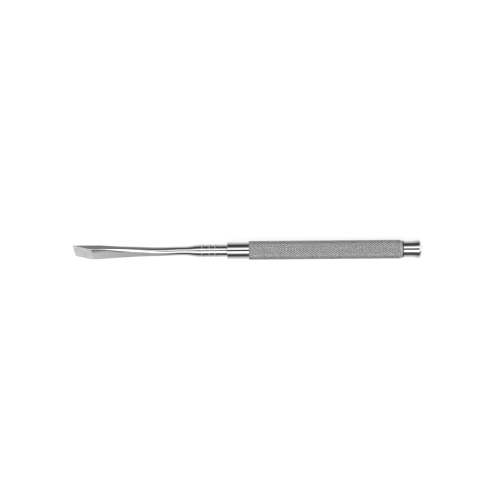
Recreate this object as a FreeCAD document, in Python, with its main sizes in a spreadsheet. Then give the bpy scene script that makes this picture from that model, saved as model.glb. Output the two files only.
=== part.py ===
import FreeCAD, Part
import math
import os
import Sketcher

# Bone chisel: a skew-edged, single-bevel blade on a round shank, set in a turned handle.
# The tool lies along X on its grip: edge towards -X, striking head towards +X, bevel facing up.
# Lengths are in millimetres and run from the seat, where the shank's shoulder meets the handle.

sizes = {
    # Handle, one turned bar
    "collarDiameter": 8.5,
    "collarLength": 10.9,
    "collarChamfer": 0.25,
    "gripDiameter": 9.5,            # over the crests of the knurl
    "gripLength": 76.6,
    "gripFrontChamfer": 0.3,
    "gripRearChamfer": 1.1,         # along the axis
    "gripRearDrop": 0.45,           # towards the axis
    "tailDiameter": 8.4,
    "tailLength": 4.5,
    "tailBlend": 0.8,               # length of the hollow curve from the grip's end to the tail
    "flareLength": 3.2,
    "headDiameter": 9.4,
    "headWidth": 0.25,
    "rimLength": 1.45,              # of the rounded rim, along the axis
    "rimDrop": 0.8,                 # towards the axis
    "domeHeight": 0.75,
    # Tang in its socket
    "tangDiameter": 5.0,
    "tangLength": 24.0,
    "tangChamfer": 0.5,
    "brazeGap": 0.03,               # all round the tang
    "socketSpare": 1.0,             # beyond the tang's end
    "drillPointSlope": 0.6,         # of the 118 degree drill that opened the socket
    # Shank, round
    "shoulderDiameter": 6.3,
    "shoulderLength": 12.7,
    "shoulderChamfer": 0.15,
    "swellLength": 9.2,
    "neckDiameter": 4.5,
    "neckLength": 2.6,
    # Three raised rings round the shoulder, each from the seat to its own middle
    "ringWidth": 1.5,
    "ringHeight": 0.2,
    "frontRing": 11.9,
    "middleRing": 8.3,
    "rearRing": 5.4,
    # Blade, a rounded rectangle that grows out of the round neck
    "taperLength": 39.0,
    "bladeLength": 13.73,
    "bladeWidth": 7.5,
    "faceHeight": 2.13,             # from the axis up to the face that carries the bevel
    "backDepth": 0.9,               # from the axis down to the flat back
    "faceCorner": 0.8,              # radius of the long edges beside the face
    "backCorner": 0.25,             # radius of the long edges beside the back
    "bevelLength": 9.15,
    "skewAngle": 10.4,
    "edgeLand": 0.05,               # what honing leaves at the very edge
    # Three sections on the way from neck to blade: place from the neck's end, half width, height of
    # the face and depth of the back from the axis, and radius of the long edges at the face and back
    "slimPlace": 9.5,
    "slimHalf": 2.31,
    "slimFace": 2.55,
    "slimDepth": 1.97,
    "slimFaceRound": 2.2,
    "slimBackRound": 2.2,
    "waistPlace": 19.0,
    "waistHalf": 2.56,
    "waistFace": 2.28,
    "waistDepth": 1.53,
    "waistFaceRound": 1.8,
    "waistBackRound": 1.4,
    "rootPlace": 29.0,
    "rootHalf": 3.14,
    "rootFace": 2.03,
    "rootDepth": 0.92,
    "rootFaceRound": 1.15,
    "rootBackRound": 0.65,
}

# Places and radii that follow from the sizes above
derived = {
    "collarRadius": "collarDiameter / 2",
    "collarLip": "collarRadius - collarChamfer",
    "gripRadius": "gripDiameter / 2",
    "gripFrontLip": "gripRadius - gripFrontChamfer",
    "gripFrontEdge": "collarLength + gripFrontChamfer",
    "gripRear": "collarLength + gripLength",
    "gripRearEdge": "gripRear - gripRearChamfer",
    "gripRearLip": "gripRadius - gripRearDrop",
    "tailRadius": "tailDiameter / 2",
    "tailBlendEnd": "gripRear + tailBlend",
    "flareStart": "gripRear + tailLength",
    "headStart": "flareStart + flareLength",
    "headRadius": "headDiameter / 2",
    "headEnd": "headStart + headWidth",
    "rimEnd": "headEnd + rimLength",
    "rimRadius": "headRadius - rimDrop",
    "handleEnd": "rimEnd + domeHeight",
    "tangRadius": "tangDiameter / 2",
    "tangTipRadius": "tangRadius - tangChamfer",
    "tangChamferStart": "tangLength - tangChamfer",
    "socketRadius": "tangRadius + brazeGap",
    "socketDepth": "tangLength + socketSpare",
    "socketTip": "socketDepth + socketRadius * drillPointSlope",
    "shoulderRadius": "shoulderDiameter / 2",
    "shoulderLip": "shoulderRadius - shoulderChamfer",
    "swellMiddle": "shoulderLength + swellLength / 2",
    "swellStart": "shoulderLength + swellLength",
    "neckRadius": "neckDiameter / 2",
    "swellMiddleRadius": "(neckRadius + shoulderRadius) / 2",
    "neckEnd": "swellStart + neckLength",
    "ringArcRadius": "(ringWidth * ringWidth / 4 + ringHeight * ringHeight) / (2 * ringHeight)",
    "slimX": "neckEnd + slimPlace",
    "waistX": "neckEnd + waistPlace",
    "rootX": "neckEnd + rootPlace",
    "bladeX": "neckEnd + taperLength",
    "reach": "bladeX + bladeLength",
    "bladeHalf": "bladeWidth / 2",
    "edgeMiddle": "reach - bladeHalf * tan(skewAngle * 1deg)",
    "landDepth": "backDepth - edgeLand",
    "grindBelow": "backDepth + bladeWidth",
    "grindAhead": "bladeWidth * 2",
    "grindBack": "bevelLength * 2",
    "grindTop": "faceHeight * 2 + landDepth",
    "centreShift": "(reach - handleEnd) / 2",
}
for ring in ("frontRing", "middleRing", "rearRing"):
    derived[ring + "Near"] = f"{ring} - ringWidth / 2"
    derived[ring + "Far"] = f"{ring} + ringWidth / 2"

doc = FreeCAD.newDocument("BoneChisel")
sheet = doc.addObject("Spreadsheet::Sheet", "Sizes")
row = 1
for alias, amount in sizes.items():
    sheet.set(f"A{row}", alias)
    sheet.set(f"B{row}", str(amount))
    sheet.setAlias(f"B{row}", alias)
    row += 1
doc.recompute()
for alias, formula in derived.items():
    sheet.set(f"A{row}", alias)
    sheet.set(f"B{row}", "=" + formula)
    sheet.setAlias(f"B{row}", alias)
    row += 1
doc.recompute()


# The number in a named cell; a leading minus turns it round, and None is zero
def amountOf(alias):
    if alias is None:
        return 0.0
    if alias.startswith("-"):
        return -float(sheet.get(alias[1:]))
    return float(sheet.get(alias))


def planeOf(body, role):
    return [plane for plane in body.Origin.OriginFeatures if plane.Role == role][0]


def newBody(name):
    body = doc.addObject("PartDesign::Body", name)
    body.Label = name
    body.setExpression("Placement.Base.x", "Sizes.centreShift")
    body.setExpression("Placement.Base.z", "Sizes.gripRadius")
    return body


def newSketch(body, name, role):
    sketch = body.newObject("Sketcher::SketchObject", name)
    sketch.AttachmentSupport = [(planeOf(body, role), "")]
    sketch.MapMode = "FlatFace"
    return sketch


# Add a constraint and tie its value to a named cell
def bind(sketch, kind, places, alias):
    number = sketch.addConstraint(Sketcher.Constraint(kind, *places, abs(amountOf(alias))))
    sketch.setExpression(f"Constraints[{number}]", "Sizes." + alias.lstrip("-"))


# Hold one point of a sketch at named distances from the origin, or on an axis
def pinPoint(sketch, edge, end, across, up):
    for kind, alias, axis in (("DistanceX", across, -2), ("DistanceY", up, -1)):
        if alias is None:
            sketch.addConstraint(Sketcher.Constraint("PointOnObject", edge, end, axis))
        elif alias.startswith("-"):
            bind(sketch, kind, (edge, end, -1, 1), alias)
        else:
            bind(sketch, kind, (-1, 1, edge, end), alias)


def endAt(sketch, edge, spot):
    near = (sketch.getPoint(edge, 1) - spot).Length
    far = (sketch.getPoint(edge, 2) - spot).Length
    return 1 if near < far else 2


# Centre of the arc from a to b that the named rule leaves
def arcCentre(a, b, rule):
    if rule == "levelStart":
        return FreeCAD.Vector(a.x, a.y + (b - a).Length ** 2 / (2 * (b.y - a.y)), 0)
    if rule == "levelEnd":
        return FreeCAD.Vector(b.x, b.y + (a - b).Length ** 2 / (2 * (a.y - b.y)), 0)
    if rule == "centreOnAxis":
        return FreeCAD.Vector((a.Length ** 2 - b.Length ** 2) / (2 * (a.x - b.x)), 0, 0)
    radius = amountOf(rule)
    rise = math.sqrt(radius ** 2 - ((b - a).Length / 2) ** 2)
    return (a + b) * 0.5 - FreeCAD.Vector(0, rise, 0)


# Closed outline through named points; rules maps the number of an edge to its arc's rule:
# levelStart and levelEnd run level there, centreOnAxis suits a dome, and any other names a radius
def drawOutline(sketch, points, rules=None):
    rules = rules or {}
    spots = [FreeCAD.Vector(amountOf(across), amountOf(up), 0) for across, up in points]
    count = len(points)
    edges = []
    for index, a in enumerate(spots):
        b = spots[(index + 1) % count]
        rule = rules.get(index)
        if rule is None:
            edges.append(sketch.addGeometry(Part.LineSegment(a, b)))
            continue
        centre = arcCentre(a, b, rule)
        middle = (a + b) * 0.5 - centre
        middle = centre + middle * ((a - centre).Length / middle.Length)
        edges.append(sketch.addGeometry(Part.Arc(a, middle, b)))
    for index, edge in enumerate(edges):
        across, up = points[index]
        start = endAt(sketch, edge, spots[index])
        before = edges[index - 1]
        finish = endAt(sketch, before, spots[index])
        sketch.addConstraint(Sketcher.Constraint("Coincident", before, finish, edge, start))
        pinPoint(sketch, edge, start, across, up)
    for index, rule in rules.items():
        edge = edges[index]
        start = endAt(sketch, edge, spots[index])
        if rule == "levelStart":
            sketch.addConstraint(Sketcher.Constraint("Vertical", edge, 3, edge, start))
        elif rule == "levelEnd":
            sketch.addConstraint(Sketcher.Constraint("Vertical", edge, 3, edge, 3 - start))
        elif rule == "centreOnAxis":
            sketch.addConstraint(Sketcher.Constraint("PointOnObject", edge, 3, -1))
        else:
            bind(sketch, "Radius", (edge,), rule)


# Turn the outline round the tool's own axis
def turn(body, kind, name, points, rules=None):
    sketch = newSketch(body, name + "Outline", "XZ_Plane")
    drawOutline(sketch, points, rules)
    feature = body.newObject(kind, name)
    feature.Profile = sketch
    feature.ReferenceAxis = (sketch, ["H_Axis"])
    feature.Angle = 360
    return feature


# Rounded rectangle across the tool at a named distance from the seat
def bladeSection(body, name, place, half, face, depth, faceCorner, backCorner):
    sketch = newSketch(body, name, "YZ_Plane")
    sketch.setExpression("AttachmentOffset.Base.z", "-Sizes." + place)
    side = amountOf(half)
    top = amountOf(face)
    bottom = -amountOf(depth)
    high = amountOf(faceCorner)
    low = amountOf(backCorner)
    flats = []
    for a, b in (
        ((side - high, top), (high - side, top)),
        ((-side, top - high), (-side, bottom + low)),
        ((low - side, bottom), (side - low, bottom)),
        ((side, bottom + low), (side, top - high)),
    ):
        flats.append(sketch.addGeometry(Part.LineSegment(FreeCAD.Vector(*a, 0), FreeCAD.Vector(*b, 0))))
    rounds = []
    for across, up, start, radius in (
        (high - side, top - high, 90, high),
        (low - side, bottom + low, 180, low),
        (side - low, bottom + low, 270, low),
        (side - high, top - high, 0, high),
    ):
        circle = Part.Circle(FreeCAD.Vector(across, up, 0), FreeCAD.Vector(0, 0, 1), radius)
        arc = Part.ArcOfCircle(circle, math.radians(start), math.radians(start + 90))
        rounds.append(sketch.addGeometry(arc))
    for index, arc in enumerate(rounds):
        following = flats[(index + 1) % 4]
        sketch.addConstraint(Sketcher.Constraint("Tangent", flats[index], 2, arc, 1))
        sketch.addConstraint(Sketcher.Constraint("Tangent", arc, 2, following, 1))
    sketch.addConstraint(Sketcher.Constraint("Equal", rounds[0], rounds[3]))
    sketch.addConstraint(Sketcher.Constraint("Equal", rounds[1], rounds[2]))
    for index, kind in enumerate(("Horizontal", "Vertical", "Horizontal", "Vertical")):
        sketch.addConstraint(Sketcher.Constraint(kind, flats[index]))
    bind(sketch, "Radius", (rounds[0],), faceCorner)
    bind(sketch, "Radius", (rounds[1],), backCorner)
    bind(sketch, "DistanceY", (-1, 1, flats[0], 1), face)
    bind(sketch, "DistanceX", (flats[1], 1, -1, 1), half)
    bind(sketch, "DistanceY", (flats[2], 1, -1, 1), depth)
    bind(sketch, "DistanceX", (-1, 1, flats[3], 1), half)
    return sketch


# Blade and shank, forged and ground in one piece
blade = newBody("blade_and_shank")
turn(
    blade,
    "PartDesign::Revolution",
    "ShankTurning",
    [
        ("-neckEnd", None),
        ("-neckEnd", "neckRadius"),
        ("-swellStart", "neckRadius"),
        ("-swellMiddle", "swellMiddleRadius"),
        ("-shoulderLength", "shoulderRadius"),
        ("-shoulderChamfer", "shoulderRadius"),
        (None, "shoulderLip"),
        (None, "tangRadius"),
        ("tangChamferStart", "tangRadius"),
        ("tangLength", "tangTipRadius"),
        ("tangLength", None),
    ],
    {2: "levelStart", 3: "levelEnd"},
)
for ring in ("frontRing", "middleRing", "rearRing"):
    turn(
        blade,
        "PartDesign::Revolution",
        ring[0].upper() + ring[1:],
        [
            ("-" + ring + "Far", "neckRadius"),
            ("-" + ring + "Far", "shoulderRadius"),
            ("-" + ring + "Near", "shoulderRadius"),
            ("-" + ring + "Near", "neckRadius"),
        ],
        {1: "ringArcRadius"},
    )

neckCircle = newSketch(blade, "NeckSection", "YZ_Plane")
neckCircle.setExpression("AttachmentOffset.Base.z", "-Sizes.neckEnd")
neckEdge = Part.Circle(FreeCAD.Vector(0, 0, 0), FreeCAD.Vector(0, 0, 1), amountOf("neckRadius"))
neckCircle.addGeometry(neckEdge)
neckCircle.addConstraint(Sketcher.Constraint("Coincident", 0, 3, -1, 1))
bind(neckCircle, "Radius", (0,), "neckRadius")
sections = [neckCircle]
for part in ("slim", "waist", "root"):
    measures = [part + measure for measure in ("X", "Half", "Face", "Depth", "FaceRound", "BackRound")]
    sections.append(bladeSection(blade, part.capitalize() + "Section", *measures))
measures = ["bladeX", "bladeHalf", "faceHeight", "backDepth", "faceCorner", "backCorner"]
bladeOutline = bladeSection(blade, "BladeSection", *measures)

taper = blade.newObject("PartDesign::AdditiveLoft", "BladeTaper")
taper.Profile = sections[0]
taper.Sections = sections[1:] + [bladeOutline]
taper.Ruled = False

blank = blade.newObject("PartDesign::Pad", "BladeBlank")
blank.Profile = bladeOutline
blank.setExpression("Length", "Sizes.bladeLength + Sizes.bladeWidth")
blank.Reversed = True

# Square to the slanted edge; everything ahead of it and above the bevel is ground away
bevelSketch = newSketch(blade, "BevelOutline", "XZ_Plane")
skewTurn = FreeCAD.Rotation(FreeCAD.Vector(0, 1, 0), sizes["skewAngle"])
bevelSketch.AttachmentOffset = FreeCAD.Placement(FreeCAD.Vector(), skewTurn)
bevelSketch.setExpression("AttachmentOffset.Base.x", "-Sizes.edgeMiddle")
bevelSketch.setExpression("AttachmentOffset.Rotation.Angle", "Sizes.skewAngle")
drawOutline(
    bevelSketch,
    [
        (None, "-grindBelow"),
        (None, "-landDepth"),
        ("grindBack", "grindTop"),
        ("-grindAhead", "grindTop"),
        ("-grindAhead", "-grindBelow"),
    ],
)
doc.recompute()
blankVolume = blade.Shape.Volume

bevel = blade.newObject("PartDesign::Pocket", "Bevel")
bevel.Profile = bevelSketch
bevel.Type = "ThroughAll"
bevel.Midplane = True
doc.recompute()
bevelVolume = blankVolume - blade.Shape.Volume

# Handle, turned from bar, with a blind socket for the tang
handle = newBody("handle")
turn(
    handle,
    "PartDesign::Revolution",
    "HandleTurning",
    [
        (None, None),
        (None, "collarLip"),
        ("collarChamfer", "collarRadius"),
        ("collarLength", "collarRadius"),
        ("collarLength", "gripFrontLip"),
        ("gripFrontEdge", "gripRadius"),
        ("gripRearEdge", "gripRadius"),
        ("gripRear", "gripRearLip"),
        ("tailBlendEnd", "tailRadius"),
        ("flareStart", "tailRadius"),
        ("headStart", "headRadius"),
        ("headEnd", "headRadius"),
        ("rimEnd", "rimRadius"),
        ("handleEnd", None),
    ],
    {7: "levelEnd", 9: "levelStart", 11: "levelStart", 12: "centreOnAxis"},
)
doc.recompute()
barVolume = handle.Shape.Volume
turn(
    handle,
    "PartDesign::Groove",
    "TangSocket",
    [
        (None, None),
        (None, "socketRadius"),
        ("socketDepth", "socketRadius"),
        ("socketTip", None),
    ],
)
doc.recompute()
socketVolume = barVolume - handle.Shape.Volume

for name, volume in (("bevel", bevelVolume), ("socket", socketVolume)):
    print(f"{name} takes away {volume:.1f} mm3")
    if volume < 1:
        raise SystemExit(f"the {name} cuts nothing")
for item in doc.Objects:
    if "Invalid" in item.State or "Error" in item.State:
        raise SystemExit(f"{item.Name} failed: {item.State}")

os.makedirs("parts", exist_ok=True)
for body in (blade, handle):
    shape = body.Shape
    if shape.isNull() or not shape.isValid() or len(shape.Solids) != 1:
        raise SystemExit(f"{body.Label} is not one sound solid")
    shape.exportStep(f"parts/{body.Label}.step")
    box = shape.optimalBoundingBox(False, False)
    reach = f"{box.XLength:.2f} x {box.YLength:.2f} x {box.ZLength:.2f} mm"
    print(f"{body.Label}: {shape.Volume:.1f} mm3, {reach}")
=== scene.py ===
import math

import bmesh
import bpy
from mathutils import Matrix, Vector


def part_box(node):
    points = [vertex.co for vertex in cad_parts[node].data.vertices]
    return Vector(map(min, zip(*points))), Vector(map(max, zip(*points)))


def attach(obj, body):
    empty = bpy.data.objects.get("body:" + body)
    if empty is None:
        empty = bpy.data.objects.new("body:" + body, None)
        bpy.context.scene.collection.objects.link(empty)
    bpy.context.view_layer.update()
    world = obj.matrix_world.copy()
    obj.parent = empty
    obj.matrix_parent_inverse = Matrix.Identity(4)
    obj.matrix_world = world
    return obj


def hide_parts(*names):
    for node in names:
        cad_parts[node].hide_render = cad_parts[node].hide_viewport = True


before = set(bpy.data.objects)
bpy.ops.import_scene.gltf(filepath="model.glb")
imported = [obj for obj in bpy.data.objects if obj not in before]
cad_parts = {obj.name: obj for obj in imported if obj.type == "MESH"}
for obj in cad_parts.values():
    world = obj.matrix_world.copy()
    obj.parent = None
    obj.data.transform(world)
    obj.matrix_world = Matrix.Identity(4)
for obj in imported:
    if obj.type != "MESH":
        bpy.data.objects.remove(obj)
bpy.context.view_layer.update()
bpy.context.scene.view_settings.view_transform = "Standard"

mm = 0.001
weld = 1e-7                            # metres: points nearer than this are one
nearly = 1e-6                          # metres: places nearer than this are the same

# A noise keeps mostly between these, and they become the ends of a finish's spread
noiseLow = 0.3
noiseHigh = 0.7
buffedSpread = (0.8, 1.3)              # roughness as a share of the finish's own, where it is buffed
mattSpread = (0.85, 1.15)              # and where it is ground or blasted


# One function turns an sRGB hex value into the linear colour that the shaders take
def linearColour(hexValue):
    channels = [int(hexValue[i:i + 2], 16) / 255 for i in (1, 3, 5)]
    return [c / 12.92 if c <= 0.04045 else ((c + 0.055) / 1.055) ** 2.4 for c in channels] + [1.0]


# Adds one node: settings are its properties, links go into its sockets, values are set on them
def addNode(tree, kind, settings=None, inputs=None):
    node = tree.nodes.new(kind)
    for name, value in (settings or {}).items():
        setattr(node, name, value)
    for name, value in (inputs or {}).items():
        if isinstance(value, bpy.types.NodeSocket):
            tree.links.new(value, node.inputs[name])
        else:
            node.inputs[name].default_value = value
    return node


def newTree(owner):
    owner.use_nodes = True
    owner.node_tree.nodes.clear()
    return owner.node_tree


def setRamp(node, stops):
    ramp = node.color_ramp
    while len(ramp.elements) < len(stops):
        ramp.elements.new(1.0)
    for element, (place, level, *alpha) in zip(ramp.elements, stops):
        element.position = place
        element.color = (level, level, level, *(alpha or [1.0]))


# Where things are, all from the frame: the tool lies along X, its axis at the height of the grip's radius
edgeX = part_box("blade_and_shank")[0].x  # the leading corner of the cutting edge
handleLow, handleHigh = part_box("handle")
seatX = handleLow.x                    # the shank's shoulder meets the collar here
axisZ = (handleLow.z + handleHigh.z) / 2


# Fine streaks: a noise as narrow as the spacing along one axis, X or Y, and drawn out along the others
def streaks(tree, spacing, length, narrowAxis):
    place = addNode(tree, "ShaderNodeTexCoord")
    scale = [1 / spacing if axis == narrowAxis else 1 / length for axis in "XYZ"]
    mapped = addNode(
        tree, "ShaderNodeMapping", inputs={"Vector": place.outputs["Object"], "Scale": scale}
    )
    return addNode(
        tree,
        "ShaderNodeTexNoise",
        inputs={"Vector": mapped.outputs["Vector"], "Scale": 1.0, "Detail": 3.0, "Roughness": 0.6},
    )


# All three steels end alike, as a metal with the default IOR
def closeSteel(tree, colour, roughness, bump):
    shader = addNode(
        tree,
        "ShaderNodeBsdfPrincipled",
        inputs={
            "Base Color": colour,
            "Metallic": 1.0,
            "Roughness": roughness.outputs[0],
            "Normal": bump.outputs["Normal"],
        },
    )
    addNode(tree, "ShaderNodeOutputMaterial", inputs={"Surface": shader.outputs["BSDF"]})


# Stainless steel, the blade and shank: buffed to a mirror on the round shank and on the sides of the
# blade, and belt ground on its broad face, bevel and back, which the eye sees as soft grey with fine lines
groundSteel = {
    "mirrorColour": "#cfcfcf",
    "groundColour": "#e6e6e6",
    "taperColour": "#cecece",          # greyer towards the neck
    "taperStart": -64.0 * mm,          # from the seat: the colour changes between these
    "taperEnd": -38.0 * mm,
    "bevelColour": "#f0f0f0",          # honed finer than the face
    # Ground is what faces up or down by more than this, smoothly, and the bevel, which leans to the edge
    "facingFrom": 0.86,
    "facingTo": 0.93,
    "leaningFrom": -0.3,
    "leaningTo": -0.24,
    "mirrorRoughness": 0.06,
    "groundRoughness": 0.8,
    "lineSpacing": 0.16 * mm,          # real belt lines are about 0.05 mm apart: coarser, so that they show
    "lineLength": 9 * mm,
    "lineDepth": 0.012 * mm,
    "smearSize": 6 * mm,               # faint cloudy patches left by buffing and wiping
    "groundEnd": -18.0 * mm,           # from the seat: the ground face has run out into the neck here
    "groundFade": 24.0 * mm,
    # Buffing has smoothed the face beside its ridge, widest at the heel of the bevel
    "heelX": -67.5 * mm,
    "narrowX": -60.0 * mm,
    "heelBuffed": 3.0 * mm,
    "narrowBuffed": 0.9 * mm,
    "ridgeY": 3.3 * mm,                # how far out the ridge lies, at the blade and further up the taper
    "rootRidgeY": 2.3 * mm,
}


def bladeSteel():
    steel = bpy.data.materials.new("belt ground and buffed stainless steel")
    tree = newTree(steel)
    place = addNode(tree, "ShaderNodeTexCoord")
    surface = addNode(tree, "ShaderNodeNewGeometry")
    normal = addNode(tree, "ShaderNodeSeparateXYZ", inputs={"Vector": surface.outputs["Normal"]})
    spot = addNode(tree, "ShaderNodeSeparateXYZ", inputs={"Vector": place.outputs["Object"]})
    tilt = addNode(tree, "ShaderNodeMath", {"operation": "ABSOLUTE"}, {0: normal.outputs["Z"]})
    facing = addNode(
        tree,
        "ShaderNodeMapRange",
        {"interpolation_type": "SMOOTHSTEP"},
        {
            "Value": tilt.outputs[0],
            "From Min": groundSteel["facingFrom"],
            "From Max": groundSteel["facingTo"],
        },
    )
    reach = addNode(
        tree,
        "ShaderNodeMapRange",
        {"interpolation_type": "SMOOTHSTEP"},
        {
            "Value": spot.outputs["X"],
            "From Min": seatX + groundSteel["groundEnd"] - groundSteel["groundFade"],
            "From Max": seatX + groundSteel["groundEnd"],
            "To Min": 1.0,
            "To Max": 0.0,
        },
    )
    leaning = addNode(
        tree,
        "ShaderNodeMapRange",
        {"interpolation_type": "SMOOTHSTEP"},
        {
            "Value": normal.outputs["X"],
            "From Min": groundSteel["leaningFrom"],
            "From Max": groundSteel["leaningTo"],
            "To Min": 1.0,
            "To Max": 0.0,
        },
    )
    ridgeLine = addNode(
        tree,
        "ShaderNodeMapRange",
        inputs={
            "Value": spot.outputs["X"],
            "From Min": seatX - bladeSections[-1][0] * mm,
            "From Max": seatX - bladeSections[-2][0] * mm,
            "To Min": groundSteel["ridgeY"],
            "To Max": groundSteel["rootRidgeY"],
        },
    )
    buffedWidth = addNode(
        tree,
        "ShaderNodeMapRange",
        inputs={
            "Value": spot.outputs["X"],
            "From Min": seatX + groundSteel["heelX"],
            "From Max": seatX + groundSteel["narrowX"],
            "To Min": groundSteel["heelBuffed"],
            "To Max": groundSteel["narrowBuffed"],
        },
    )
    inward = addNode(
        tree, "ShaderNodeMath", {"operation": "SUBTRACT"}, {0: ridgeLine.outputs[0], 1: spot.outputs["Y"]}
    )
    share = addNode(
        tree, "ShaderNodeMath", {"operation": "DIVIDE"}, {0: inward.outputs[0], 1: buffedWidth.outputs[0]}
    )
    fade = addNode(tree, "ShaderNodeMapRange", inputs={"Value": share.outputs[0]})
    upper = addNode(
        tree, "ShaderNodeMath", {"operation": "MULTIPLY"}, {0: facing.outputs[0], 1: fade.outputs[0]}
    )
    either = addNode(
        tree, "ShaderNodeMath", {"operation": "MAXIMUM"}, {0: upper.outputs[0], 1: leaning.outputs[0]}
    )
    ground = addNode(
        tree, "ShaderNodeMath", {"operation": "MULTIPLY"}, {0: either.outputs[0], 1: reach.outputs[0]}
    )
    lines = streaks(tree, groundSteel["lineSpacing"], groundSteel["lineLength"], "Y")
    smear = addNode(
        tree,
        "ShaderNodeTexNoise",
        inputs={"Vector": place.outputs["Object"], "Scale": 1 / groundSteel["smearSize"], "Detail": 4.0},
    )
    polish = addNode(
        tree,
        "ShaderNodeMapRange",
        inputs={
            "Value": smear.outputs["Fac"],
            "From Min": noiseLow,
            "From Max": noiseHigh,
            "To Min": groundSteel["mirrorRoughness"] * buffedSpread[0],
            "To Max": groundSteel["mirrorRoughness"] * buffedSpread[1],
        },
    )
    matt = addNode(
        tree,
        "ShaderNodeMapRange",
        inputs={
            "Value": lines.outputs["Fac"],
            "From Min": noiseLow,
            "From Max": noiseHigh,
            "To Min": groundSteel["groundRoughness"] * mattSpread[0],
            "To Max": groundSteel["groundRoughness"] * mattSpread[1],
        },
    )
    roughness = addNode(
        tree,
        "ShaderNodeMix",
        {"data_type": "FLOAT"},
        {"Factor": ground.outputs[0], "A": polish.outputs[0], "B": matt.outputs[0]},
    )
    bump = addNode(
        tree,
        "ShaderNodeBump",
        inputs={
            "Strength": ground.outputs[0],
            "Distance": groundSteel["lineDepth"],
            "Height": lines.outputs["Fac"],
        },
    )
    towardsNeck = addNode(
        tree,
        "ShaderNodeMapRange",
        inputs={
            "Value": spot.outputs["X"],
            "From Min": seatX + groundSteel["taperStart"],
            "From Max": seatX + groundSteel["taperEnd"],
        },
    )
    faceColour = addNode(
        tree,
        "ShaderNodeMix",
        {"data_type": "RGBA"},
        {
            "Factor": towardsNeck.outputs[0],
            "A": linearColour(groundSteel["groundColour"]),
            "B": linearColour(groundSteel["taperColour"]),
        },
    )
    groundColour = addNode(
        tree,
        "ShaderNodeMix",
        {"data_type": "RGBA"},
        {
            "Factor": leaning.outputs[0],
            "A": faceColour.outputs["Result"],
            "B": linearColour(groundSteel["bevelColour"]),
        },
    )
    colour = addNode(
        tree,
        "ShaderNodeMix",
        {"data_type": "RGBA"},
        {
            "Factor": ground.outputs[0],
            "A": linearColour(groundSteel["mirrorColour"]),
            "B": groundColour.outputs["Result"],
        },
    )
    closeSteel(tree, colour.outputs["Result"], roughness, bump)
    return steel


# Stainless steel, the collar, rear neck and head of the handle: turned, then buffed bright, so the eye
# sees a mirror with the faintest rings round it
turnedSteel = {
    "colour": "#d0d0d0",
    "roughness": 0.07,
    "ringSpacing": 0.12 * mm,
    "ringLength": 40 * mm,             # how far round the handle a ring keeps its depth
    "ringDepth": 0.001 * mm,
    "ringStrength": 0.4,
    "smearSize": 5 * mm,
}


def buffedSteel():
    steel = bpy.data.materials.new("turned and buffed stainless steel")
    tree = newTree(steel)
    place = addNode(tree, "ShaderNodeTexCoord")
    rings = streaks(tree, turnedSteel["ringSpacing"], turnedSteel["ringLength"], "X")
    smear = addNode(
        tree,
        "ShaderNodeTexNoise",
        inputs={"Vector": place.outputs["Object"], "Scale": 1 / turnedSteel["smearSize"], "Detail": 4.0},
    )
    roughness = addNode(
        tree,
        "ShaderNodeMapRange",
        inputs={
            "Value": smear.outputs["Fac"],
            "From Min": noiseLow,
            "From Max": noiseHigh,
            "To Min": turnedSteel["roughness"] * buffedSpread[0],
            "To Max": turnedSteel["roughness"] * buffedSpread[1],
        },
    )
    bump = addNode(
        tree,
        "ShaderNodeBump",
        inputs={
            "Strength": turnedSteel["ringStrength"],
            "Distance": turnedSteel["ringDepth"],
            "Height": rings.outputs["Fac"],
        },
    )
    closeSteel(tree, linearColour(turnedSteel["colour"]), roughness, bump)
    return steel


# Stainless steel, the grip: rolled with a diamond knurl and glass-bead blasted, so the eye sees a dull
# mid grey with lighter crests and darker grooves, their dark partly dirt and partly painted shade;
# behind the grip the colour is a painted shade
knurledSteel = {
    "crestColour": "#e2e2e2",
    # darker in the grooves: partly dirt, partly painted shade in the recesses
    "grooveDirtAndShadeColour": "#929292",
    "paintedShadeColour": "#606060",          # painted shade: the corner behind the knurl, darkened in the colour
    "paintedShadeEdge": 0.2 * mm,             # how soft the change to that colour is, along the axis
    "roughness": 0.5,
    "grainSize": 0.12 * mm,            # the blasted grain is about 0.05 mm: coarser, so that it shows
    "grainDepth": 0.006 * mm,
}


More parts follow.
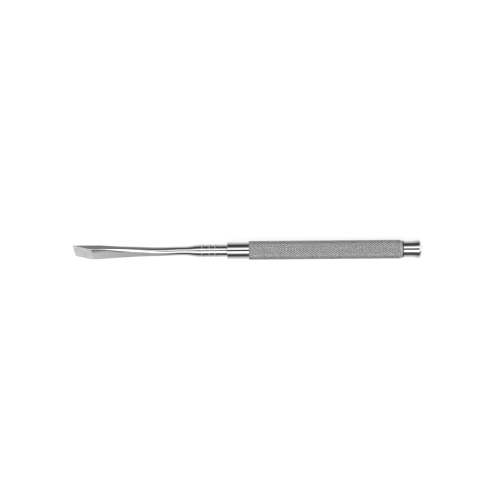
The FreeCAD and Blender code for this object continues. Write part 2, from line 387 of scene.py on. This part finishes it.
def blastedSteel(crest, rearEdge, rear):
    steel = bpy.data.materials.new("knurled and bead-blasted stainless steel")
    tree = newTree(steel)
    place = addNode(tree, "ShaderNodeTexCoord")
    centred = addNode(
        tree,
        "ShaderNodeVectorMath",
        {"operation": "MULTIPLY"},
        {0: place.outputs["Object"], 1: (0.0, 1.0, 1.0)},
    )
    fromAxis = addNode(
        tree,
        "ShaderNodeVectorMath",
        {"operation": "DISTANCE"},
        {0: centred.outputs[0], 1: (0.0, 0.0, axisZ)},
    )
    spot = addNode(tree, "ShaderNodeSeparateXYZ", inputs={"Vector": place.outputs["Object"]})
    outline = addNode(
        tree,
        "ShaderNodeMapRange",
        inputs={
            "Value": spot.outputs["X"],
            "From Min": rearEdge,
            "From Max": rear,
            "To Min": crest,
            "To Max": crest - handleSizes["gripRearDrop"],
        },
    )
    below = addNode(
        tree,
        "ShaderNodeMath",
        {"operation": "SUBTRACT"},
        {0: outline.outputs["Result"], 1: fromAxis.outputs["Value"]},
    )
    height = addNode(
        tree,
        "ShaderNodeMapRange",
        inputs={
            "Value": below.outputs[0],
            "From Min": 0.0,
            "From Max": knurl["depth"],
            "To Min": 1.0,
            "To Max": 0.0,
        },
    )
    # 1 on the grip, 0 just behind it, where the colour turns to the painted shade
    onGrip = addNode(
        tree,
        "ShaderNodeMapRange",
        inputs={
            "Value": spot.outputs["X"],
            "From Min": rear,
            "From Max": rear + knurledSteel["paintedShadeEdge"],
            "To Min": 1.0,
            "To Max": 0.0,
        },
    )
    grain = addNode(
        tree,
        "ShaderNodeTexNoise",
        inputs={"Vector": place.outputs["Object"], "Scale": 1 / knurledSteel["grainSize"], "Detail": 2.0},
    )
    # Crests lighter, grooves darker: the grooves' colour is partly dirt and partly painted shade
    diamonds = addNode(
        tree,
        "ShaderNodeMix",
        {"data_type": "RGBA"},
        {
            "Factor": height.outputs[0],
            "A": linearColour(knurledSteel["grooveDirtAndShadeColour"]),
            "B": linearColour(knurledSteel["crestColour"]),
        },
    )
    # Behind the grip the colour is the painted shade
    colour = addNode(
        tree,
        "ShaderNodeMix",
        {"data_type": "RGBA"},
        {
            "Factor": onGrip.outputs[0],
            "A": linearColour(knurledSteel["paintedShadeColour"]),
            "B": diamonds.outputs["Result"],
        },
    )
    roughness = addNode(
        tree,
        "ShaderNodeMapRange",
        inputs={
            "Value": grain.outputs["Fac"],
            "From Min": noiseLow,
            "From Max": noiseHigh,
            "To Min": knurledSteel["roughness"] * mattSpread[0],
            "To Max": knurledSteel["roughness"] * mattSpread[1],
        },
    )
    bump = addNode(
        tree,
        "ShaderNodeBump",
        inputs={"Strength": 1.0, "Distance": knurledSteel["grainDepth"], "Height": grain.outputs["Fac"]},
    )
    closeSteel(tree, colour.outputs["Result"], roughness, bump)
    return steel


# A ring of points round the axis at x, one for each angle
def ringPoints(x, radius, angles):
    return [Vector((x, radius * math.cos(a), axisZ + radius * math.sin(a))) for a in angles]


# Skins a list of rings, each with the same number of points; a ring of one point closes an end
def skinRings(mesh, rings):
    rows = [[mesh.verts.new(point) for point in ring] for ring in rings]
    for near, far in zip(rows, rows[1:]):
        count = max(len(near), len(far))
        for i in range(count):
            j = (i + 1) % count
            if len(near) == 1:
                corners = (near[0], far[j], far[i])
            elif len(far) == 1:
                corners = (near[i], near[j], far[0])
            else:
                corners = (near[i], near[j], far[j], far[i])
            mesh.faces.new(corners).smooth = True
    return rows


# Points of an arc in the profile, from a to b about centre, without a
def arcPoints(a, b, centre, steps=12):
    start = math.atan2(a[1] - centre[1], a[0] - centre[0])
    turn = math.atan2(b[1] - centre[1], b[0] - centre[0]) - start
    turn = (turn + math.pi) % (2 * math.pi) - math.pi
    radius = math.hypot(a[0] - centre[0], a[1] - centre[1])
    turns = [start + turn * i / steps for i in range(1, steps + 1)]
    return [(centre[0] + radius * math.cos(t), centre[1] + radius * math.sin(t)) for t in turns]


# An arc from a to b that runs level, along the axis, at one of them
def levelArc(a, b, levelAtStart):
    level, other = (a, b) if levelAtStart else (b, a)
    reach = math.dist(a, b) ** 2 / (2 * (other[1] - level[1]))
    return arcPoints(a, b, (level[0], level[1] + reach))


sharpAngle = math.radians(26)          # faces that meet at more than this show an edge


def finishPiece(name, mesh, materials, node):
    bmesh.ops.recalc_face_normals(mesh, faces=mesh.faces)
    data = bpy.data.meshes.new(name)
    mesh.to_mesh(data)
    mesh.free()
    for material in materials:
        data.materials.append(material)
    data.set_sharp_from_angle(angle=sharpAngle)
    piece = bpy.data.objects.new(name, data)
    bpy.context.scene.collection.objects.link(piece)
    weighted = piece.modifiers.new("flat faces stay flat", "WEIGHTED_NORMAL")
    weighted.keep_sharp = True
    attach(piece, "root")
    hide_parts(node)
    print(name, len(data.vertices), "points")


# Blade and shank: distances from the seat, towards the edge
bladeSizes = {
    "swellStart": 21.9 * mm,
    "shoulderStart": 12.7 * mm,
    "neckRadius": 2.25 * mm,
    "shoulderRadius": 3.15 * mm,
    "shoulderChamfer": 0.15 * mm,
    "rings": (11.9 * mm, 8.3 * mm, 5.4 * mm),
    "ringWidth": 1.5 * mm,
    "ringHeight": 0.2 * mm,
    "tangLength": 24.0 * mm,
    "tangRadius": 2.5 * mm,
    "tangChamfer": 0.5 * mm,
    "bevelLength": 9.15 * mm,
    "skew": math.radians(10.4),
}
# Sections from the round neck to the parallel blade, in millimetres: distance from the seat, half
# width, face above the axis, back below it, corner radius at the face and at the back; then the buffed
# ridge between face and +Y side: radius along the side, radius of the ridge, width of its flat, radius
# towards the face
bladeSections = (
    (24.5, 2.25, 2.25, 2.25, 2.25, 2.25, 2.25, 2.25, 0.00, 2.25),
    (34.0, 2.31, 2.55, 1.97, 2.20, 2.20, 1.80, 1.60, 0.20, 2.00),
    (43.5, 2.56, 2.28, 1.53, 1.80, 1.40, 1.30, 0.50, 0.55, 2.10),
    (53.5, 3.14, 2.03, 0.92, 1.15, 0.65, 0.70, 0.30, 0.40, 1.50),
    (63.5, 3.75, 2.13, 0.90, 0.80, 0.25, 0.20, 0.16, 0.03, 0.50),
)
sideTurn = math.radians(30)            # how far the surface has turned where the first arc ends
ridgeTurn = math.radians(55)           # and on the ridge's flat
flatSteps = 14
cornerSteps = 12


# The ridge as points (y, z): two arcs off the side, a narrow flat, and an arc into the face
def ridgePoints(half, face, sideRadius, ridgeRadius, width, lastRadius):
    points = [Vector((0.0, 0.0))]

    def turn(radius, a, b):
        start = points[-1]
        steps = cornerSteps // 3
        for i in range(1, steps + 1):
            t = a + (b - a) * i / steps
            points.append(start + radius * Vector((math.cos(t) - math.cos(a), math.sin(t) - math.sin(a))))

    turn(sideRadius, 0.0, sideTurn)
    turn(ridgeRadius, sideTurn, ridgeTurn)
    points.append(points[-1] + width * Vector((-math.sin(ridgeTurn), math.cos(ridgeTurn))))
    turn(lastRadius, ridgeTurn, math.pi / 2)
    shift = Vector((half, face - points[-1].y))
    return [point + shift for point in points]


# Rounded rectangle as points (y, z) about the axis, counterclockwise from the foot of the +Y side
def sectionPoints(half, face, back, faceCorner, backCorner, *ridge):
    corners = (
        (faceCorner - half, face - faceCorner, 90, faceCorner),
        (backCorner - half, backCorner - back, 180, backCorner),
        (half - backCorner, backCorner - back, 270, backCorner),
    )
    arcs = [ridgePoints(half, face, *ridge)]
    for y, z, start, radius in corners:
        turns = [math.radians(start + 90 * i / cornerSteps) for i in range(cornerSteps + 1)]
        arcs.append([Vector((y + radius * math.cos(a), z + radius * math.sin(a))) for a in turns])
    points = []
    for index, arc in enumerate(arcs):
        before = arcs[index - 1][-1]
        points += [before.lerp(arc[0], i / flatSteps) for i in range(1, flatSteps)]
        points += arc
    return points


# Natural cubic through (places, values), evaluated at t: the taper's smooth run through its sections
def smoothRun(places, values, t):
    count = len(places)
    gaps = [places[i + 1] - places[i] for i in range(count - 1)]
    lower = [0.0] * count
    diagonal = [1.0] * count
    upper = [0.0] * count
    right = [0.0] * count
    for i in range(1, count - 1):
        lower[i] = gaps[i - 1]
        diagonal[i] = 2 * (gaps[i - 1] + gaps[i])
        upper[i] = gaps[i]
        right[i] = 6 * ((values[i + 1] - values[i]) / gaps[i] - (values[i] - values[i - 1]) / gaps[i - 1])
    for i in range(1, count):
        factor = lower[i] / diagonal[i - 1]
        diagonal[i] -= factor * upper[i - 1]
        right[i] -= factor * right[i - 1]
    bend = [0.0] * count
    for i in range(count - 1, -1, -1):
        following = bend[i + 1] if i + 1 < count else 0.0
        bend[i] = (right[i] - upper[i] * following) / diagonal[i]
    k = max(i for i in range(count - 1) if places[i] <= t or i == 0)
    a = (places[k + 1] - t) / gaps[k]
    b = 1 - a
    return (
        a * values[k]
        + b * values[k + 1]
        + ((a ** 3 - a) * bend[k] + (b ** 3 - b) * bend[k + 1]) * gaps[k] ** 2 / 6
    )


def buildBlade(material):
    size = bladeSizes
    neck = size["neckRadius"]
    places = [section[0] * mm for section in bladeSections]
    shapes = [sectionPoints(*[value * mm for value in section[1:]]) for section in bladeSections]
    angles = [math.atan2(point.y, point.x) for point in shapes[1]]
    shapes[0] = [Vector((neck * math.cos(a), neck * math.sin(a))) for a in angles]
    bladeHalf, face, back = [value * mm for value in bladeSections[-1][1:4]]
    backCorner = bladeSections[-1][5] * mm
    neckEnd = places[0]
    bladeX = places[-1]
    rings = []

    # From the tang's end to the neck, turned round
    profile = [
        (size["tangLength"], 0.0),
        (size["tangLength"], size["tangRadius"] - size["tangChamfer"]),
        (size["tangLength"] - size["tangChamfer"], size["tangRadius"]),
        (0.0, size["tangRadius"]),
        (0.0, size["shoulderRadius"] - size["shoulderChamfer"]),
        (-size["shoulderChamfer"], size["shoulderRadius"]),
    ]
    halfRing = size["ringWidth"] / 2
    arcRadius = (halfRing ** 2 + size["ringHeight"] ** 2) / (2 * size["ringHeight"])
    for place in sorted(size["rings"]):
        near = (-(place - halfRing), size["shoulderRadius"])
        far = (-(place + halfRing), size["shoulderRadius"])
        centre = (-place, size["shoulderRadius"] + size["ringHeight"] - arcRadius)
        profile.append(near)
        profile += arcPoints(near, far, centre)
    swellMiddle = (size["shoulderStart"] + size["swellStart"]) / 2
    middleRadius = (neck + size["shoulderRadius"]) / 2
    top = (-size["shoulderStart"], size["shoulderRadius"])
    middle = (-swellMiddle, middleRadius)
    bottom = (-size["swellStart"], neck)
    profile.append(top)
    profile += levelArc(top, middle, True)
    profile += levelArc(middle, bottom, False)
    neckSteps = 8
    for i in range(1, neckSteps):
        profile.append((-size["swellStart"] - (neckEnd - size["swellStart"]) * i / neckSteps, neck))
    for x, radius in profile:
        if radius < weld:
            rings.append([Vector((seatX + x, 0, axisZ))])
        else:
            rings.append(ringPoints(seatX + x, radius, angles))

    # The taper, from round to rounded rectangle
    taperSteps = 60
    for step in range(taperSteps + 1):
        place = neckEnd + (bladeX - neckEnd) * step / taperSteps
        ring = []
        for i in range(len(angles)):
            y = smoothRun(places, [shape[i].x for shape in shapes], place)
            z = smoothRun(places, [shape[i].y for shape in shapes], place)
            ring.append(Vector((seatX - place, y, axisZ + z)))
        rings.append(ring)

    # The parallel blade, longer than needed, then the bevel ground off at a slant
    spare = 2 * mm
    bladeSteps = 16
    for step in range(1, bladeSteps + 1):
        x = (seatX - bladeX) * (1 - step / bladeSteps) + (edgeX - spare) * step / bladeSteps
        rings.append([Vector((x, point.x, axisZ + point.y)) for point in shapes[-1]])
    mesh = bmesh.new()
    rows = skinRings(mesh, rings)
    mesh.faces.new(rows[-1])
    edgeMiddle = Vector((edgeX + (bladeHalf - backCorner) * math.tan(size["skew"]), 0, axisZ - back))
    along = Vector((math.sin(size["skew"]), -math.cos(size["skew"]), 0))
    upBevel = Vector((
        math.cos(size["skew"]) * size["bevelLength"],
        math.sin(size["skew"]) * size["bevelLength"],
        face + back,
    ))
    bevelNormal = along.cross(upBevel).normalized()
    if bevelNormal.z < 0:
        bevelNormal.negate()
    everything = mesh.verts[:] + mesh.edges[:] + mesh.faces[:]
    cut = bmesh.ops.bisect_plane(
        mesh, geom=everything, dist=weld, plane_co=edgeMiddle, plane_no=bevelNormal, clear_outer=True
    )
    rim = [item for item in cut["geom_cut"] if isinstance(item, bmesh.types.BMEdge)]
    bmesh.ops.contextual_create(mesh, geom=rim)
    bmesh.ops.remove_doubles(mesh, verts=mesh.verts, dist=weld)
    finishPiece("blade_and_shank_ground", mesh, [material], "blade_and_shank")


# Handle: distances from the seat, towards the head
handleSizes = {
    "collarRadius": 4.25 * mm,
    "collarChamfer": 0.25 * mm,
    "gripFront": 10.9 * mm,
    "gripLength": 76.6 * mm,
    "gripFrontChamfer": 0.3 * mm,
    "gripRearChamfer": 1.1 * mm,
    "gripRearDrop": 0.45 * mm,
    "tailRadius": 4.2 * mm,
    "tailBlend": 0.8 * mm,
    "tailLength": 4.5 * mm,
    "flareLength": 3.2 * mm,
    "headRadius": 4.7 * mm,
    "headWidth": 0.25 * mm,
    "rimLength": 1.45 * mm,
    "rimDrop": 0.8 * mm,
    "socketRadius": 2.53 * mm,
    "socketDepth": 25.0 * mm,
    "drillPointSlope": 0.6,
    "coreDepth": 0.3 * mm,             # hidden under the knurl: below the tail's radius
    "coreOverlap": 0.5 * mm,           # and how far in from each end of the grip it starts
}
knurl = {
    "around": 26,
    "pitch": 1.5 * mm,                 # along the axis
    "depth": 0.17 * mm,
    "crestWidth": 0.2,                 # the flat left on each diamond, as a share of it
    "chamferKept": 0.5,                # share of the depth that is left at the ends of the chamfers
}


def buildHandle(buffed, blasted):
    size = handleSizes
    steps = 128
    angles = [2 * math.pi * i / steps for i in range(steps)]
    gripRear = size["gripFront"] + size["gripLength"]
    flareStart = gripRear + size["tailLength"]
    headStart = flareStart + size["flareLength"]
    headEnd = headStart + size["headWidth"]
    rim = (headEnd + size["rimLength"], size["headRadius"] - size["rimDrop"])
    end = handleHigh.x - seatX
    crest = (handleHigh.z - handleLow.z) / 2
    root = crest - knurl["depth"]
    lip = crest - size["gripRearDrop"]
    core = size["tailRadius"] - size["coreDepth"]
    hidden = size["coreOverlap"]

    # The bar, from the bottom of the tang's socket out to the mouth and back along the outside
    profile = [
        (size["socketDepth"] + size["socketRadius"] * size["drillPointSlope"], 0.0),
        (size["socketDepth"], size["socketRadius"]),
        (0.0, size["socketRadius"]),
        (0.0, size["collarRadius"] - size["collarChamfer"]),
        *levelArc(
            (0.0, size["collarRadius"] - size["collarChamfer"]),
            (size["collarChamfer"], size["collarRadius"]),
            False,
        ),
        (size["gripFront"] + hidden, size["collarRadius"]),
        (size["gripFront"] + hidden, core),
        (gripRear - hidden, core),
        (gripRear, lip - knurl["depth"] / 2),
        (gripRear, lip),
    ]
    tail = (gripRear + size["tailBlend"], size["tailRadius"])
    flare = (flareStart, size["tailRadius"])
    headFront = (headStart, size["headRadius"])
    headBack = (headEnd, size["headRadius"])
    profile += levelArc(profile[-1], tail, False)
    profile.append(flare)
    profile += levelArc(flare, headFront, True)
    profile.append(headBack)
    profile += levelArc(headBack, rim, True)
    dome = end - rim[0]
    domeRadius = (rim[1] ** 2 + dome ** 2) / (2 * dome)
    domeTurn = math.asin(rim[1] / domeRadius)
    domeSteps = 12
    for i in range(1, domeSteps + 1):
        a = domeTurn * (1 - i / domeSteps)
        profile.append((end - domeRadius + domeRadius * math.cos(a), domeRadius * math.sin(a)))
    rings = []
    for x, radius in profile:
        if radius < weld:
            rings.append([Vector((seatX + x, 0, axisZ))])
        else:
            rings.append(ringPoints(seatX + x, radius, angles))
    mesh = bmesh.new()
    skinRings(mesh, rings)
    # The blasting runs out over the blend behind the knurl, and there the colour is a painted shade
    for face in mesh.faces:
        if seatX + gripRear - nearly < face.calc_center_median().x < seatX + tail[0]:
            face.material_index = 1
    addKnurl(mesh, size["gripFront"], gripRear, root, crest, core)
    finishPiece("turned_handle", mesh, [buffed, blasted], "handle")


# Diamonds in staggered rows: each has a small flat crest, and its four corners lie in the grooves
def addKnurl(mesh, front, rear, root, crest, core):
    pitch = knurl["pitch"]
    around = knurl["around"]
    flat = knurl["crestWidth"] / 2
    grip = bmesh.new()
    corners = {}

    def pointAt(u, w, radius):
        turn = 2 * math.pi * w / around
        return Vector((
            seatX + front + u * pitch, radius * math.cos(turn), axisZ + radius * math.sin(turn)
        ))

    def grooveCorner(halfU, halfW):
        key = (halfU, halfW % (2 * around))
        if key not in corners:
            corners[key] = grip.verts.new(pointAt(halfU / 2, halfW / 2, root))
        return corners[key]

    rows = int((rear - front) / pitch * 2) + 4
    for k in range(-2, rows):
        for n in range(around):
            m = 2 * n + k % 2
            low = [grooveCorner(k + du, m + dw) for du, dw in ((-1, 0), (0, -1), (1, 0), (0, 1))]
            high = [
                grip.verts.new(pointAt(k / 2 + du * flat, m / 2 + dw * flat, crest))
                for du, dw in ((-1, 0), (0, -1), (1, 0), (0, 1))
            ]
            grip.faces.new(high)
            for i in range(4):
                j = (i + 1) % 4
                grip.faces.new((low[i], low[j], high[j], high[i]))

    # Trim both ends square, then press the diamonds down along the two chamfers
    def trim(x, outward, clear):
        bmesh.ops.bisect_plane(
            grip,
            geom=grip.verts[:] + grip.edges[:] + grip.faces[:],
            dist=weld,
            plane_co=Vector((x, 0, 0)),
            plane_no=Vector((outward, 0, 0)),
            clear_outer=clear,
        )

    frontX = seatX + front
    rearX = seatX + rear
    frontEdge = frontX + handleSizes["gripFrontChamfer"]
    rearEdge = rearX - handleSizes["gripRearChamfer"]
    trim(frontX, -1, True)
    trim(rearX, 1, True)
    trim(frontEdge, -1, False)
    trim(rearEdge, 1, False)
    trim((rearEdge + rearX) / 2, 1, False)
    for vert in grip.verts:
        drop = 0.0
        depthKept = 1.0
        if vert.co.x < frontEdge:
            drop = frontEdge - vert.co.x
            depthKept = 1 - (1 - knurl["chamferKept"]) * drop / (frontEdge - frontX)
        if vert.co.x > rearEdge:
            share = (vert.co.x - rearEdge) / (rearX - rearEdge)
            drop = handleSizes["gripRearDrop"] * share
            depthKept = 1 - (1 - knurl["chamferKept"]) * share
        radius = math.hypot(vert.co.y, vert.co.z - axisZ)
        pressed = crest - drop - (crest - radius) * depthKept
        vert.co.y *= pressed / radius
        vert.co.z = axisZ + (vert.co.z - axisZ) * pressed / radius

    # Close each end down to the core, and the core between them
    inner = []
    for x in (frontX, rearX):
        rim = [e for e in grip.edges if e.is_boundary and all(abs(v.co.x - x) < nearly for v in e.verts)]
        grown = bmesh.ops.extrude_edge_only(grip, edges=rim)["geom"]
        for vert in (item for item in grown if isinstance(item, bmesh.types.BMVert)):
            radius = math.hypot(vert.co.y, vert.co.z - axisZ)
            vert.co.y *= core / radius
            vert.co.z = axisZ + (vert.co.z - axisZ) * core / radius
        inner += [item for item in grown if isinstance(item, bmesh.types.BMEdge)]
    loops = [e for e in inner if e.is_boundary]
    bmesh.ops.bridge_loops(grip, edges=loops)
    bmesh.ops.recalc_face_normals(grip, faces=grip.faces)
    carrier = bpy.data.meshes.new("knurl")
    grip.to_mesh(carrier)
    grip.free()
    before = len(mesh.faces)
    mesh.from_mesh(carrier)
    bpy.data.meshes.remove(carrier)
    mesh.faces.ensure_lookup_table()
    for face in mesh.faces[before:]:
        face.material_index = 1
        face.smooth = True


# The photograph looks square at the tool's axis, from 45 degrees round towards the blade's long side
view = {
    "roundFromFace": math.radians(45),
    "tilt": math.radians(0.49),        # the head's end stands a little higher in the picture
    "distance": 1.6,
    "frameWidth": 250 * mm,
    "aimX": 1.29 * mm,
    "aimUp": 0.19 * mm,
    "sensor": 36.0,
    "clipStart": 0.05,
    "clipEnd": 20,
}
viewAngle = view["roundFromFace"]
towards = Vector((0, math.sin(viewAngle), math.cos(viewAngle)))
upward = Vector((0, math.cos(viewAngle), -math.sin(viewAngle)))


def buildCamera():
    camera = bpy.data.cameras.new("camera")
    camera.sensor_width = view["sensor"]
    camera.lens = view["sensor"] * view["distance"] / view["frameWidth"]
    camera.clip_start = view["clipStart"]
    camera.clip_end = view["clipEnd"]
    holder = bpy.data.objects.new("camera", camera)
    bpy.context.scene.collection.objects.link(holder)
    up = upward * math.cos(view["tilt"]) + Vector((1, 0, 0)) * math.sin(view["tilt"])
    right = up.cross(towards)
    aim = Vector((view["aimX"], 0, axisZ)) + upward * view["aimUp"]
    turn = Matrix((right, up, towards)).transposed().to_4x4()
    holder.matrix_world = Matrix.Translation(aim + towards * view["distance"]) @ turn
    bpy.context.scene.camera = holder


# White paper under the tool: most of its white is its own glow and the rest is lit, so a soft shadow stays
paper = {"glow": 0.8, "colour": "#959595", "size": 4.0}


def buildFloor():
    mesh = bmesh.new()
    half = paper["size"] / 2
    corners = ((-half, -half), (half, -half), (half, half), (-half, half))
    mesh.faces.new([mesh.verts.new((x, y, 0)) for x, y in corners])
    data = bpy.data.meshes.new("paper floor")
    mesh.to_mesh(data)
    mesh.free()
    material = bpy.data.materials.new("white paper")
    tree = newTree(material)
    lit = addNode(tree, "ShaderNodeBsdfDiffuse", inputs={"Color": linearColour(paper["colour"])})
    glow = addNode(tree, "ShaderNodeEmission", inputs={"Strength": paper["glow"]})
    both = addNode(tree, "ShaderNodeAddShader", inputs={0: lit.outputs[0], 1: glow.outputs[0]})
    addNode(tree, "ShaderNodeOutputMaterial", inputs={"Surface": both.outputs[0]})
    data.materials.append(material)
    floor = bpy.data.objects.new("paper_floor", data)
    bpy.context.scene.collection.objects.link(floor)
    floor.visible_glossy = False       # the metal sees the tent's own white underside instead


# A white tent with a long soft lamp each side of the camera's slot, and dark cloth beyond each lamp.
# The bands run along the tool: each angle is measured round it from the camera, upwards in the picture
tent = {
    "lampLevel": 2.3,
    # Angle in degrees, then level as a share of the lower lamp's
    "bands": (
        (-180, 0.455),
        (-130, 0.43),
        (-108, 0.367),
        (-92, 0.139),
        (-78, 0.028),
        (-62, 0.031),
        (-48, 0.083),
        (-29, 1.0),
        (-14, 1.0),
        (-12, 0.0),
        (8.5, 0.0),
        (10.5, 0.7),
        (28, 0.7),
        (43, 0.07),
        (56, 0.031),
        (80, 0.031),
        (92, 0.15),
        (108, 0.367),
        (130, 0.43),
        (180, 0.455),
    ),
    # Cloths close the ends: how far a direction points along the tool, from -1 towards the edge to 1
    # towards the head, then the level there, and how much of the bands it covers
    "ends": (
        (-0.90, 0.03, 0.85),
        (-0.80, 0.5, 0.75),
        (-0.62, 0.5, 0.75),
        (-0.45, 0.5, 0.0),
        (0.70, 0.8, 0.0),
        (0.86, 0.8, 0.7),
    ),
    "headEndFoot": (-0.35, -0.2),      # the head's cloth stops here, below the tool in the picture
}


def buildTent():
    world = bpy.data.worlds.new("white tent")
    bpy.context.scene.world = world
    world.cycles.sampling_method = "NONE"
    tree = newTree(world)
    place = addNode(tree, "ShaderNodeTexCoord")
    direction = addNode(
        tree, "ShaderNodeVectorMath", {"operation": "NORMALIZE"}, {0: place.outputs["Generated"]}
    )
    ahead = addNode(
        tree, "ShaderNodeVectorMath", {"operation": "DOT_PRODUCT"}, {0: direction.outputs[0], 1: towards}
    )
    aside = addNode(
        tree, "ShaderNodeVectorMath", {"operation": "DOT_PRODUCT"}, {0: direction.outputs[0], 1: upward}
    )
    angle = addNode(
        tree,
        "ShaderNodeMath",
        {"operation": "ARCTAN2"},
        {0: aside.outputs["Value"], 1: ahead.outputs["Value"]},
    )
    share = addNode(
        tree,
        "ShaderNodeMapRange",
        inputs={"Value": angle.outputs[0], "From Min": -math.pi, "From Max": math.pi},
    )
    bands = addNode(tree, "ShaderNodeValToRGB", inputs={"Fac": share.outputs[0]})
    setRamp(bands, [((degrees + 180) / 360, level) for degrees, level in tent["bands"]])
    along = addNode(tree, "ShaderNodeSeparateXYZ", inputs={"Vector": direction.outputs[0]})
    fromEdge = addNode(tree, "ShaderNodeMapRange", inputs={"Value": along.outputs["X"], "From Min": -1.0})
    ends = addNode(tree, "ShaderNodeValToRGB", inputs={"Fac": fromEdge.outputs[0]})
    setRamp(ends, [((where + 1) / 2, level, covered) for where, level, covered in tent["ends"]])
    footLow, footHigh = tent["headEndFoot"]
    headFoot = addNode(
        tree,
        "ShaderNodeMapRange",
        {"interpolation_type": "SMOOTHSTEP"},
        {"Value": aside.outputs["Value"], "From Min": footLow, "From Max": footHigh},
    )
    edgeSide = addNode(tree, "ShaderNodeMath", {"operation": "LESS_THAN"}, {0: along.outputs["X"], 1: 0.0})
    allowed = addNode(
        tree, "ShaderNodeMath", {"operation": "MAXIMUM"}, {0: headFoot.outputs[0], 1: edgeSide.outputs[0]}
    )
    cover = addNode(
        tree, "ShaderNodeMath", {"operation": "MULTIPLY"}, {0: ends.outputs["Alpha"], 1: allowed.outputs[0]}
    )
    mixed = addNode(
        tree,
        "ShaderNodeMix",
        {"data_type": "RGBA"},
        {"Factor": cover.outputs[0], "A": bands.outputs["Color"], "B": ends.outputs["Color"]},
    )
    ray = addNode(tree, "ShaderNodeLightPath")
    seen = addNode(tree, "ShaderNodeBackground", inputs={"Color": (1, 1, 1, 1), "Strength": 1.0})
    mirrored = addNode(
        tree,
        "ShaderNodeBackground",
        inputs={"Color": mixed.outputs["Result"], "Strength": tent["lampLevel"]},
    )
    chosen = addNode(
        tree,
        "ShaderNodeMixShader",
        inputs={0: ray.outputs["Is Glossy Ray"], 1: seen.outputs[0], 2: mirrored.outputs[0]},
    )
    addNode(tree, "ShaderNodeOutputWorld", inputs={"Surface": chosen.outputs[0]})


buildBlade(bladeSteel())
print("blade done")
gripRearX = seatX + handleSizes["gripFront"] + handleSizes["gripLength"]
rearEdgeX = gripRearX - handleSizes["gripRearChamfer"]
gripSteel = blastedSteel((handleHigh.z - handleLow.z) / 2, rearEdgeX, gripRearX)
buildHandle(buffedSteel(), gripSteel)
print("handle done")
buildFloor()
buildTent()
buildCamera()
print("stage done")
